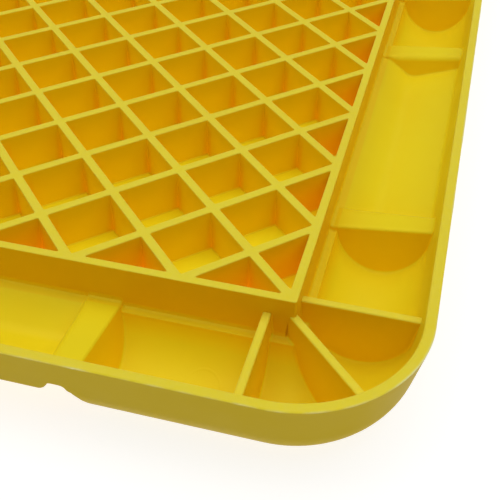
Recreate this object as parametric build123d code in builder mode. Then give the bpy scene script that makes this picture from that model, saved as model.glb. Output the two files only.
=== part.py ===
from build123d import *
import os
from math import cos, radians, sin, sqrt

os.makedirs("parts", exist_ok=True)

# A one-piece moulded hive board: a waffle of diagonal cells inside four straight walls, with a hollow
# bead and an upright rim round it. +X is across the short side, +Y along the long side, +Z up. The
# origin is under the middle of the board, on the surface that it rests on. Sizes are in millimetres.

# ---------------------------------------------------------------- driving dimensions
cell_pitch = 22.0            # from one lattice rib to the next, square to the ribs
cells_across = 11            # cell diagonals across the short side
cells_along = 14             # cell diagonals along the long side
lattice_rib = 2.8            # thickness of a lattice rib
cell_depth = 13.2            # rib tops down to the floor panel
skin = 2.3                   # thickness of the floor panel and of the hollow bead
board_height = 26.4          # underside of the bead to the rib tops

inner_wall = 2.6             # thickness of the walls round the lattice
wall_stand_out = 0.8         # their outer face, outside the lattice's corner nodes
border_width = 36.0          # lattice's corner nodes to the outer edge of the rim
rim_land = 3.0               # width of the rim's flat top
rim_lean = 2.1               # how far the rim's inner face leans in towards its foot
ledge = 2.5                  # flat strip at the foot of the inner walls

corner_rib = 2.4             # thickness of the corner ribs
corner_rib_drop = 5.4        # their tops, down from the top of the board
cross_rib_offset = 6.9       # middle of a cross rib, in from the lattice's corner node

saddle_land = 9.0            # width of a saddle's flat top
saddle_drop_wall = 11.7      # its top, down from the top of the board, at the inner wall
saddle_drop_rim = 8.4        # and at the rim
first_saddle_short = 47.9    # lattice's corner node to the first saddle of a short side
first_saddle_long = 46.7     # and of a long side
middle_trough = 46.0         # between a long side's middle saddle and the next one
trough_end_lean = 14.5       # degrees from upright, end wall of a gutter
recess_end_lean = 20.0       # degrees from upright, end wall of a grip recess

valley_offset = 13.3         # bottom of a recess's V floor, out from the lattice's corner nodes
valley_drop = 18.3           # and down from the top of the board
recess_ledge_drop = 12.4     # a recess's ledge, down from the top of the board
recess_lip = 1.6             # depth of a recess's outer corner under the foot of the rim

# ---------------------------------------------------------------- worked out from them
node_step = cell_pitch * sqrt(2)             # spacing of the lattice's nodes along a wall
pocket = cell_pitch - lattice_rib            # side of a square cell
node_width = cells_across * node_step        # between the corner nodes, in X
node_length = cells_along * node_step        # and in Y
panel_width = node_width + 2 * wall_stand_out
panel_length = node_length + 2 * wall_stand_out
panel_top = board_height - cell_depth
panel_bottom = panel_top - skin

ledge_end = wall_stand_out + ledge
rim_inner = border_width - rim_land          # rim's inner edge at the top
rim_toe = rim_inner - rim_lean               # and at the foot

gutter_middle = (ledge_end + rim_toe) / 2
half_chord = (rim_toe - ledge_end) / 2
gutter_depth = panel_top - skin              # ledge down to the bottom of the gutter
gutter_radius = (half_chord**2 + gutter_depth**2) / (2 * gutter_depth)
gutter_axis = skin + gutter_radius           # height of the gutter's axis
bead_radius = gutter_radius + skin
bead_start = gutter_middle - sqrt(bead_radius**2 - (gutter_axis - panel_bottom) ** 2)
bead_end = gutter_middle + sqrt(bead_radius**2 - (gutter_axis - panel_top) ** 2)

saddle_at_wall = board_height - saddle_drop_wall
saddle_at_rim = board_height - saddle_drop_rim
saddle_mean = (saddle_at_wall + saddle_at_rim) / 2
saddle_end = rim_inner - rim_lean * saddle_drop_rim / cell_depth
saddle_slope = (saddle_at_rim - saddle_at_wall) / (saddle_end - wall_stand_out)

valley_top = board_height - valley_drop
recess_ledge = board_height - recess_ledge_drop
rib_top = board_height - corner_rib_drop
rib_end = rim_inner - rim_lean * corner_rib_drop / cell_depth

skirt = board_height                         # more than an end wall's lean can reach
past_rim = 2 * border_width                  # clear outside the rim
below_board = -board_height                  # clear under the board
up = Vector(0, 0, 1)


class Side:
    """One side of the border. Its sections are drawn outwards (x) and up (y) from its node line."""

    def __init__(self, name, outward, reach, half, saddles):
        self.name = name
        self.outward = Vector(*outward)
        self.along = self.outward.cross(up)
        self.reach = reach               # middle of the board to the node line
        self.half = half                 # middle of the side to its corner nodes
        self.saddles = saddles           # middles of the saddles, along the side

    def section(self, v):
        """Plane across the border, v along the side from its middle."""
        return Plane(self.outward * self.reach + self.along * v, self.outward, self.along)

    def end_wall(self, v, lean, facing):
        """Face of a saddle that looks along the side, facing +1 or -1, and up by its lean."""
        edge = self.outward * self.reach + self.along * v + up * saddle_mean
        normal = self.along * (facing * cos(radians(lean))) + up * sin(radians(lean))
        return Plane(edge, self.outward, normal)


half_width = node_width / 2
half_length = node_length / 2
first_short = half_width - first_saddle_short - saddle_land / 2
first_long = half_length - first_saddle_long - saddle_land / 2
next_long = saddle_land + middle_trough
short_saddles = (-first_short, 0.0, first_short)
long_saddles = (-first_long, -next_long, 0.0, next_long, first_long)

front = Side("front", (0, -1, 0), half_length, half_width, short_saddles)
left = Side("left", (-1, 0, 0), half_width, half_length, long_saddles)
back = Side("back", (0, 1, 0), half_length, half_width, short_saddles)
right = Side("right", (1, 0, 0), half_width, half_length, long_saddles)
sides = (front, left, back, right)
corners = (
    ("front_right", right, front),
    ("front_left", front, left),
    ("back_left", left, back),
    ("back_right", back, right),
)


def opens_on_gutter(side, v):
    """True where the run of border past v, on the far side from the middle, is a gutter."""
    outermost = abs(v) >= side.saddles[-1]
    innermost = side.half > half_width and abs(v) <= next_long - saddle_land / 2
    return outermost or innermost


def saddle_faces(side, middle):
    """The two end walls of the saddle at middle, and whether each looks into a gutter."""
    faces = []
    for facing in (-1, 1):
        edge = middle + facing * saddle_land / 2
        gutter = opens_on_gutter(side, edge)
        lean = trough_end_lean if gutter else recess_end_lean
        faces.append((side.end_wall(edge, lean, facing), gutter, facing))
    return faces


# ---------------------------------------------------------------- sections of the border
def gutter_shell(plane):
    """Half-round gutter: ledge, gutter and rim foot inside, bead outside."""
    with BuildSketch(plane) as face:
        with BuildLine():
            Polyline((bead_start, panel_bottom), (wall_stand_out, panel_bottom))
            Polyline((wall_stand_out, panel_bottom), (wall_stand_out, panel_top), (ledge_end, panel_top))
            ThreePointArc((ledge_end, panel_top), (gutter_middle, skin), (rim_toe, panel_top))
            Line((rim_toe, panel_top), (bead_end, panel_top))
            ThreePointArc((bead_end, panel_top), (gutter_middle, 0), (bead_start, panel_bottom))
        make_face()
    return face.sketch


def gutter_hollow(plane, start, top, end):
    """What fills a gutter from start at the wall, up to top, and to end at the rim's face."""
    with BuildSketch(plane) as face:
        with BuildLine():
            Polyline((ledge_end, panel_top), (start, panel_top), (start, top), (end, top))
            Line((end, top), (rim_toe, panel_top))
            ThreePointArc((rim_toe, panel_top), (gutter_middle, skin), (ledge_end, panel_top))
        make_face()
    return face.sketch


def saddle_on_gutter(plane):
    """Everything under a saddle's top, down to the outside of the bead."""
    with BuildSketch(plane) as face:
        with BuildLine():
            Polyline((bead_start, panel_bottom), (wall_stand_out, panel_bottom))
            Polyline((wall_stand_out, panel_bottom), (wall_stand_out, saddle_at_wall))
            Polyline((wall_stand_out, saddle_at_wall), (saddle_end, saddle_at_rim), (rim_toe, panel_top))
            Line((rim_toe, panel_top), (bead_end, panel_top))
            ThreePointArc((bead_end, panel_top), (gutter_middle, 0), (bead_start, panel_bottom))
        make_face()
    return face.sketch


def recess_underside():
    """Points of a recess's underside, from the foot of the rim to the floor panel."""
    return [
        (bead_end, panel_top),
        (bead_end, panel_top - recess_lip),
        (valley_offset, valley_top - skin),
        (ledge_end, panel_bottom),
        (wall_stand_out, panel_bottom),
    ]


def recess_shell(plane):
    """Grip recess: ledge and V-shaped floor."""
    floor = [
        (wall_stand_out, recess_ledge),
        (ledge_end, recess_ledge),
        (valley_offset, valley_top),
        (rim_toe, panel_top),
    ]
    with BuildSketch(plane) as face:
        with BuildLine():
            Polyline(*floor, *recess_underside(), close=True)
        make_face()
    return face.sketch


def saddle_on_recess(plane):
    """Everything under a saddle's top, down to the underside of a recess."""
    top = [(wall_stand_out, saddle_at_wall), (saddle_end, saddle_at_rim), (rim_toe, panel_top)]
    with BuildSketch(plane) as face:
        with BuildLine():
            Polyline(*top, *recess_underside(), close=True)
        make_face()
    return face.sketch


def rim_section(plane):
    """Upright rim with a flat top land, leaning in towards its foot."""
    with BuildSketch(plane) as face:
        with BuildLine():
            Polyline(
                (rim_inner, board_height),
                (border_width, board_height),
                (bead_end, panel_top),
                (rim_toe, panel_top),
                close=True,
            )
        make_face()
    return face.sketch


def strap_groove(side, middle):
    """The groove under a saddle, which also notches the rim: a cutter, not a piece."""
    ceiling = saddle_at_wall - skin
    outer_ceiling = ceiling + saddle_slope * (past_rim - wall_stand_out)
    with BuildPart() as groove:
        with BuildSketch(side.section(middle)):
            with BuildLine():
                Polyline(
                    (wall_stand_out, ceiling),
                    (past_rim, outer_ceiling),
                    (past_rim, below_board),
                    (wall_stand_out, below_board),
                    close=True,
                )
            make_face()
        extrude(amount=skirt, both=True)
        for wall, _, _ in saddle_faces(side, middle):
            split(bisect_by=wall.offset(-skin), keep=Keep.BOTTOM)
    return groove.part


# ---------------------------------------------------------------- middle of the board
with BuildPart() as floor_panel:
    with BuildSketch(Plane.XY.offset(panel_bottom)):
        Rectangle(panel_width, panel_length)
    extrude(amount=skin)

nodes_along_x = [(i - cells_across / 2) * node_step for i in range(cells_across + 1)]
nodes_along_y = [(j - cells_along / 2) * node_step for j in range(cells_along + 1)]
cell_centres = [(x + node_step / 2, y) for x in nodes_along_x[:-1] for y in nodes_along_y]
cell_centres += [(x, y + node_step / 2) for x in nodes_along_x for y in nodes_along_y[:-1]]

with BuildPart() as cell_lattice:
    with BuildSketch(Plane.XY.offset(panel_top)):
        Rectangle(panel_width - 2 * inner_wall, panel_length - 2 * inner_wall)
        with Locations(*cell_centres):
            Rectangle(pocket, pocket, rotation=45, mode=Mode.SUBTRACT)
    extrude(amount=cell_depth)

pieces = {"floor_panel": floor_panel, "cell_lattice": cell_lattice}

# ---------------------------------------------------------------- straight walls and rims
for side in sides:
    wall_run = side.half + wall_stand_out
    if side in (left, right):
        wall_run -= inner_wall                   # butts against the front and back walls
    with BuildPart() as straight_wall:
        with BuildSketch(side.section(-wall_run)):
            with Locations((wall_stand_out, panel_top)):
                Rectangle(inner_wall, cell_depth, align=(Align.MAX, Align.MIN))
        extrude(amount=2 * wall_run)
    pieces["inner_wall_" + side.name] = straight_wall

    with BuildPart() as straight_rim:
        extrude(rim_section(side.section(-side.half)), amount=2 * side.half)
        for middle in side.saddles:
            add(strap_groove(side, middle), mode=Mode.SUBTRACT)
    pieces["rim_" + side.name] = straight_rim

# ---------------------------------------------------------------- saddles and what lies between them
for side in sides:
    for number, middle in enumerate(side.saddles, 1):
        faces = saddle_faces(side, middle)
        with BuildPart() as saddle:
            for _, gutter, facing in faces:
                section = saddle_on_gutter if gutter else saddle_on_recess
                extrude(section(side.section(middle)), amount=facing * skirt)
            for wall, _, _ in faces:
                split(bisect_by=wall, keep=Keep.BOTTOM)
            add(strap_groove(side, middle), mode=Mode.SUBTRACT)
        pieces[f"saddle_{side.name}_{number}"] = saddle

    counts = {"middle_trough": 0, "grip_recess": 0}
    for this, following in zip(side.saddles, side.saddles[1:]):
        start = saddle_faces(side, this)[1]
        end = saddle_faces(side, following)[0]
        kind = "middle_trough" if start[1] else "grip_recess"
        shell = gutter_shell if start[1] else recess_shell
        counts[kind] += 1
        with BuildPart() as run:
            extrude(shell(side.section(this)), amount=following - this)
            split(bisect_by=start[0], keep=Keep.TOP)
            split(bisect_by=end[0], keep=Keep.TOP)
        pieces[f"{kind}_{side.name}_{counts[kind]}"] = run

# ---------------------------------------------------------------- corners
for name, before, after in corners:
    node = before.outward * before.reach + before.along * before.half
    turn = Axis(node, -up)                       # clockwise, from one side round to the next
    at_node = before.section(before.half)
    past_node = after.section(-after.half)

    with BuildPart() as corner_trough:
        revolve(gutter_shell(at_node), axis=turn, revolution_arc=90)
        extrude(gutter_shell(at_node), amount=before.saddles[-1] - before.half)
        extrude(gutter_shell(past_node), amount=after.half - after.saddles[-1])
        split(bisect_by=saddle_faces(before, before.saddles[-1])[1][0], keep=Keep.TOP)
        split(bisect_by=saddle_faces(after, after.saddles[0])[0][0], keep=Keep.TOP)
        with BuildSketch(Plane.XY):
            Rectangle(panel_width, panel_length)
        extrude(amount=board_height, mode=Mode.SUBTRACT)
    pieces["corner_trough_" + name] = corner_trough

    with BuildPart() as corner_rim:
        revolve(rim_section(at_node), axis=turn, revolution_arc=90)
    pieces["rim_corner_" + name] = corner_rim

    bisector = (before.outward + after.outward).normalized()
    with BuildPart() as diagonal_rib:
        revolve(gutter_hollow(at_node, 0, rib_top, rib_end), axis=turn, revolution_arc=90)
        with BuildSketch(Plane(node, bisector, up)):
            with Locations((border_width / 2, 0)):
                Rectangle(border_width, corner_rib)
        extrude(amount=board_height, mode=Mode.INTERSECT)
        with BuildSketch(Plane.XY):
            Rectangle(panel_width, panel_length)
        extrude(amount=board_height, mode=Mode.SUBTRACT)
    pieces["diagonal_rib_" + name] = diagonal_rib

    for side, v in ((before, before.half - cross_rib_offset), (after, cross_rib_offset - after.half)):
        profile = gutter_hollow(side.section(v), wall_stand_out, rib_top, rib_end)
        with BuildPart() as cross_rib:
            extrude(profile, amount=corner_rib / 2, both=True)
        pieces[f"cross_rib_{name}_{side.name}"] = cross_rib

for name, piece in pieces.items():
    piece.part.label = name
    export_step(piece.part, f"parts/{name}.step")
print(len(pieces), "pieces")
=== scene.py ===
"""A hive board moulded in one piece of yellow plastic, dressed piece by piece round its CAD frame.

The board is a waffle of diagonal cells inside four straight walls, with a half-round gutter, grip
recesses and saddles round it, and an upright rim outside them. Every piece of the moulding is its own
closed mesh with the fillets, draft and rounded edges of the real one. Sizes are in metres.
"""

import logging
from collections.abc import Callable, Iterator, Sequence
from dataclasses import dataclass, field, replace
from enum import Enum
from math import acos, atan2, cos, pi, radians, sin, sqrt, tan

import bmesh
import bpy
import numpy as np
from mathutils import Matrix, Vector, noise


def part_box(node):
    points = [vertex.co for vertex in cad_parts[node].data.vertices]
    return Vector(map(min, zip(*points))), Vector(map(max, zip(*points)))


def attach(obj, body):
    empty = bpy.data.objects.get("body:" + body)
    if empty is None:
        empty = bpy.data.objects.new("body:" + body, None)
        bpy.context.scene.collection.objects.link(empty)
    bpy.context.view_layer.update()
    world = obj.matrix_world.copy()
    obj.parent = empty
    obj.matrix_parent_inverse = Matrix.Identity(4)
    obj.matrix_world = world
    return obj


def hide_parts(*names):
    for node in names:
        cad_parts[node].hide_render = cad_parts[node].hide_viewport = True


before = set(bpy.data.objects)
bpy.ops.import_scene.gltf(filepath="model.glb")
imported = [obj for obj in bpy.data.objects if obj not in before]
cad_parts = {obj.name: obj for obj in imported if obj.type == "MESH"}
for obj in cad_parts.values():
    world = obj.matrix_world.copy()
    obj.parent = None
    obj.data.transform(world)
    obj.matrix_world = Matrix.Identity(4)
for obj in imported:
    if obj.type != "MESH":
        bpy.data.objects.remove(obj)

Array = np.ndarray
Colour = tuple[float, float, float]
Face = tuple[int, ...]
Socket = bpy.types.NodeSocket

MM = 0.001
MM_PER_METRE = 1000.0
UP = np.array((0.0, 0.0, 1.0))
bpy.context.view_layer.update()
MITRE_FAN = 2 * MM  # how far the mitre of a corner fans out, for each radian
FLASH_START = Vector((3.1, 0.0, 0.0))  # where the slow unevenness of the flash starts in its noise

logging.basicConfig(level=logging.INFO, format="%(message)s")
log = logging.getLogger("hive_board")


# ---------------------------------------------------------------- curves and faces
def eased(steps: int) -> Array:
    """Shares from 0 to 1 in so many steps, which are shorter towards both ends."""
    return 0.5 - 0.5 * np.cos(np.linspace(0.0, pi, steps + 1))


def even(steps: int) -> Array:
    """Shares from 0 to 1 in so many equal steps."""
    return np.linspace(0.0, 1.0, steps + 1)


def bend(start: Array | Sequence, corner: Array | Sequence, end: Array | Sequence, shares: Array) -> Array:
    """Rounds a corner with a smooth curve that is tangent to both of its legs.

    Args:
        start: where the curve leaves the first leg, as one point or a row of them.
        corner: the sharp corner.
        end: where the curve joins the second leg.
        shares: where along the curve to give points, from 0 to 1.

    Returns:
        One point, or one row of points, for each share.
    """
    a, c, b = (np.asarray(p, float) for p in (start, corner, end))
    t = shares.reshape(-1, *[1] * a.ndim)
    return (1 - t) ** 2 * a + 2 * t * (1 - t) * c + t**2 * b


def towards(start: Array | Sequence, end: Array | Sequence) -> Array:
    """Unit vector from one point to another."""
    way = np.asarray(end, float) - np.asarray(start, float)
    return way / np.linalg.norm(way)


def rounded_line(points: Sequence[Sequence[float]], rounds: Sequence[float], steps: int = 12) -> Array:
    """A polyline whose inner corners are rounded.

    Args:
        points: the corners, the two ends included.
        rounds: for each inner corner, how far from it the rounding starts.
        steps: stretches in each rounding.

    Returns:
        The points of the rounded line.
    """
    corners = np.asarray(points, float)
    line = [corners[:1]]
    for before, corner, after, reach in zip(corners, corners[1:], corners[2:], rounds):
        start, end = (corner + towards(corner, other) * reach for other in (before, after))
        line.append(bend(start, corner, end, even(steps)))
    return np.concatenate((*line, corners[-1:]))


def strip(low: Sequence[int], high: Sequence[int]) -> list[Face]:
    """Four-sided faces between two rows of vertex numbers of the same length."""
    return list(zip(low, low[1:], high[1:], high))


def tube_faces(rows: int, columns: int) -> list[Face]:
    """Faces of a tube whose closed sections are rows of vertices.

    Args:
        rows: how many sections there are.
        columns: vertices in each section.

    Returns:
        The faces between the sections, then the two caps.
    """
    rings = np.arange(rows * columns).reshape(rows, columns).tolist()
    faces = [face for low, high in zip(rings, rings[1:]) for face in strip(low + low[:1], high + high[:1])]
    return faces + [tuple(rings[0][::-1]), tuple(rings[-1])]


# ---------------------------------------------------------------- sizes
@dataclass(frozen=True)
class BoardSizes:
    """The board's main sizes. Sections are drawn outwards from the line of nodes under the walls.

    Attributes:
        half_width: the board's middle to the node line of its right side.
        half_length: the board's middle to the node line of its back side.
        top: height of the board.
        panel_top: top of the floor panel, which is also the foot of the rim.
        panel_bottom: underside of the floor panel.
        wall_out: outer face of the inner walls.
        wall_thickness: thickness of the inner walls.
        rim_toe: foot of the rim's inner face.
        rim_outer: top of the rim's outer face.
        bead_end: foot of the rim's outer face.
        rib_top: height of the corner ribs.
        rib_thickness: their thickness at the top.
        cells_across: cells from side to side.
        cells_along: cells from front to back.
        lattice_rib: thickness of the ribs between cells.
        ledge: width of the ledge at the foot of the walls.
        rim_land: width of the rim's flat top.
        saddle_land: width of a saddle's top.
        saddle_drop_wall: the board's top to a saddle's top, at the wall.
        saddle_drop_rim: the same at the rim.
        gutter_lean: lean of the end walls of a gutter.
        recess_lean: lean of the end walls of a recess.
        valley_offset: the deepest line of a recess, outwards.
        valley_drop: the board's top to that line.
        recess_ledge_drop: the board's top to a recess's ledge.
        recess_lip: height of a recess's lip under the rim.
    """

    half_width: float
    half_length: float
    top: float
    panel_top: float
    panel_bottom: float
    wall_out: float
    wall_thickness: float
    rim_toe: float
    rim_outer: float
    bead_end: float
    rib_top: float
    rib_thickness: float
    cells_across: int = 11
    cells_along: int = 14
    lattice_rib: float = 2.8 * MM
    ledge: float = 2.5 * MM
    rim_land: float = 3.0 * MM
    saddle_land: float = 9.0 * MM
    saddle_drop_wall: float = 11.7 * MM
    saddle_drop_rim: float = 8.4 * MM
    gutter_lean: float = radians(14.5)
    recess_lean: float = radians(20.0)
    valley_offset: float = 13.3 * MM
    valley_drop: float = 18.3 * MM
    recess_ledge_drop: float = 12.4 * MM
    recess_lip: float = 1.6 * MM

    @classmethod
    def from_frame(cls) -> "BoardSizes":
        """Reads the sizes off the CAD nodes' boxes.

        Returns:
            The board's sizes.
        """
        panel_low, panel_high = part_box("floor_panel")
        wall_low, wall_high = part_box("inner_wall_right")
        rim_low, rim_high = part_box("rim_right")
        rib_low, rib_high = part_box("cross_rib_front_right_right")
        half_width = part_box("rim_front")[1].x
        return cls(
            half_width=half_width,
            half_length=rim_high.y,
            top=rim_high.z,
            panel_top=panel_high.z,
            panel_bottom=panel_low.z,
            wall_out=panel_high.x - half_width,
            wall_thickness=wall_high.x - wall_low.x,
            rim_toe=rim_low.x - half_width,
            rim_outer=rim_high.x - half_width,
            bead_end=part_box("middle_trough_right_1")[1].x - half_width,
            rib_top=rib_high.z,
            rib_thickness=rib_high.y - rib_low.y,
        )

    @property
    def skin(self) -> float:
        """Thickness of the panel and of the bead."""
        return self.panel_top - self.panel_bottom

    @property
    def node_step(self) -> float:
        """Spacing of the lattice's nodes along a wall."""
        return 2 * self.half_width / self.cells_across

    @property
    def ledge_end(self) -> float:
        """Where the ledge at the foot of the walls ends."""
        return self.wall_out + self.ledge

    @property
    def rim_inner(self) -> float:
        """Inner edge of the rim's flat top."""
        return self.rim_outer - self.rim_land

    @property
    def gutter_middle(self) -> float:
        """Middle of the gutter."""
        return (self.ledge_end + self.rim_toe) / 2

    @property
    def gutter_radius(self) -> float:
        """Radius of the gutter's half-round floor."""
        depth = self.panel_top - self.skin
        return (((self.rim_toe - self.ledge_end) / 2) ** 2 + depth**2) / (2 * depth)

    @property
    def gutter_axis(self) -> float:
        """Height of the gutter's axis."""
        return self.skin + self.gutter_radius

    @property
    def saddle_at_wall(self) -> float:
        """Height of a saddle's top at the inner wall."""
        return self.top - self.saddle_drop_wall

    @property
    def saddle_at_rim(self) -> float:
        """Height of a saddle's top at the rim."""
        return self.top - self.saddle_drop_rim

    @property
    def saddle_mean(self) -> float:
        """Height at which a saddle is exactly as wide as its named width."""
        return (self.saddle_at_wall + self.saddle_at_rim) / 2

    @property
    def saddle_slope(self) -> float:
        """Rise of a saddle's top for each unit outwards."""
        across = self.rim_face(self.saddle_at_rim) - self.wall_out
        return (self.saddle_at_rim - self.saddle_at_wall) / across

    def rim_share(self, z: float) -> float:
        """How far up the rim height z is, from 0 at its foot to 1 at its top."""
        return (z - self.panel_top) / (self.top - self.panel_top)

    def rim_face(self, z: float) -> float:
        """How far out the rim's inner face is at height z."""
        return self.rim_toe + (self.rim_inner - self.rim_toe) * self.rim_share(z)

    def rim_back(self, z: float) -> float:
        """How far out the rim's outer face is at height z."""
        return self.bead_end + (self.rim_outer - self.bead_end) * self.rim_share(z)

    def ceiling(self, u: float) -> float:
        """Height of the groove under a saddle at a distance u outwards."""
        return self.saddle_at_wall - self.skin + self.saddle_slope * (u - self.wall_out)


class Zone(Enum):
    """What a stretch of the border is."""

    GUTTER = "middle_trough"
    RECESS = "grip_recess"
    SADDLE = "saddle"


@dataclass(frozen=True)
class Side:
    """One side of the border. Places on it are along it from its middle (v), outwards (u) and up (z).

    Attributes:
        name: the side's name.
        outward: unit vector away from the board.
        reach: the board's middle to the node line.
        half: the side's middle to its corner nodes.
        runs: what lies before, between and after the side's saddles, in order.
        sizes: the board's sizes.
    """

    name: str
    outward: tuple[float, float, float]
    reach: float
    half: float
    runs: tuple[Zone, ...]
    sizes: BoardSizes

    @property
    def out(self) -> Array:
        """Outward direction."""
        return np.array(self.outward)

    @property
    def along(self) -> Array:
        """Direction along the side, clockwise round the board."""
        return np.cross(self.out, UP)

    @property
    def saddles(self) -> range:
        """Numbers of the side's saddles, from 0."""
        return range(len(self.runs) - 1)

    def place(self, v: Array | float, u: Array | float, z: Array | float) -> Array:
        """Turns places on the side into points of the board."""
        v, u, z = (np.asarray(x, float)[..., None] for x in np.broadcast_arrays(v, u, z))
        return self.out * (self.reach + u) + self.along * v + UP * z

    def lean(self, run: int) -> float:
        """Lean of the end walls of the side's numbered run."""
        return self.sizes.gutter_lean if self.runs[run] is Zone.GUTTER else self.sizes.recess_lean

    def saddle_middle(self, number: int) -> float:
        """Middle of a saddle, from its node's box, less what its two end walls lean out by.

        Args:
            number: the saddle's number, from 0.

        Returns:
            Its place along the side.
        """
        s = self.sizes
        ends = [float(np.dot(self.along, corner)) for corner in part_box(f"saddle_{self.name}_{number + 1}")]
        lowest = {Zone.GUTTER: 0.0, Zone.RECESS: s.top - s.valley_drop - s.skin}
        before, after = (
            tan(self.lean(run)) * (s.saddle_mean - lowest[self.runs[run]]) for run in (number, number + 1)
        )
        return (sum(ends) + before - after) / 2


def board_sides(sizes: BoardSizes) -> tuple[Side, ...]:
    """The four sides, clockwise from the front.

    Args:
        sizes: the board's sizes.

    Returns:
        Front, left, back and right.
    """
    gutter, recess = Zone.GUTTER, Zone.RECESS
    across = (sizes.half_length, sizes.half_width, (gutter, recess, recess, gutter), sizes)
    along = (sizes.half_width, sizes.half_length, (gutter, recess, gutter, gutter, recess, gutter), sizes)
    return (
        Side("front", (0, -1, 0), *across),
        Side("left", (-1, 0, 0), *along),
        Side("back", (0, 1, 0), *across),
        Side("right", (1, 0, 0), *along),
    )


# ---------------------------------------------------------------- finish
@dataclass(frozen=True)
class Nodes:
    """Adds shader nodes to a tree. A value is a number, a colour or the socket of another node."""

    tree: bpy.types.NodeTree

    def wire(self, node: bpy.types.Node, values: dict) -> None:
        """Gives the named or numbered inputs of a node their values."""
        for name, value in values.items():
            if isinstance(value, Socket):
                self.tree.links.new(value, node.inputs[name])
            else:
                node.inputs[name].default_value = value

    def add(self, kind: str, values: dict, output: str, **settings: object) -> Socket:
        """Adds one node.

        Args:
            kind: the node's type, less its "ShaderNode".
            values: what its inputs are.
            output: which of its outputs is wanted.
            settings: the node's own settings.

        Returns:
            The wanted output.
        """
        node = self.tree.nodes.new(f"ShaderNode{kind}")
        for name, value in settings.items():
            setattr(node, name, value)
        self.wire(node, values)
        return node.outputs[output]

    def maths(self, operation: str, first: Socket, second: Socket | float, clamp: bool = False) -> Socket:
        """Works out one number from two."""
        return self.add("Math", {0: first, 1: second}, "Value", operation=operation, use_clamp=clamp)

    def vector(self, operation: str, values: dict, output: str = "Vector") -> Socket:
        """Works on vectors."""
        return self.add("VectorMath", values, output, operation=operation)

    def noise(self, place: Socket, scale: float, detail: float) -> Socket:
        """Soft noise, with so many lumps to the metre."""
        return self.add("TexNoise", {"Vector": place, "Scale": scale, "Detail": detail}, "Fac")

    def spread(self, value: Socket, low: float, high: float, to: tuple[float, float] = (0.0, 1.0)) -> Socket:
        """Stretches the values between low and high over the range that is given."""
        limits = {"From Min": low, "From Max": high, "To Min": to[0], "To Max": to[1]}
        return self.add("MapRange", {"Value": value, **limits}, "Result")

    def attribute(self, name: str) -> Socket:
        """Reads a number that each vertex of the mesh carries."""
        return self.add("Attribute", {}, "Fac", attribute_name=name)

    def mix(self, share: Socket, first: Socket | Colour, second: Colour) -> Socket:
        """Mixes a colour or a socket with another colour."""
        first = first if isinstance(first, Socket) else (*first, 1)
        return self.add("Mix", {"Factor": share, "A": first, "B": (*second, 1)}, "Result", data_type="RGBA")


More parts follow.
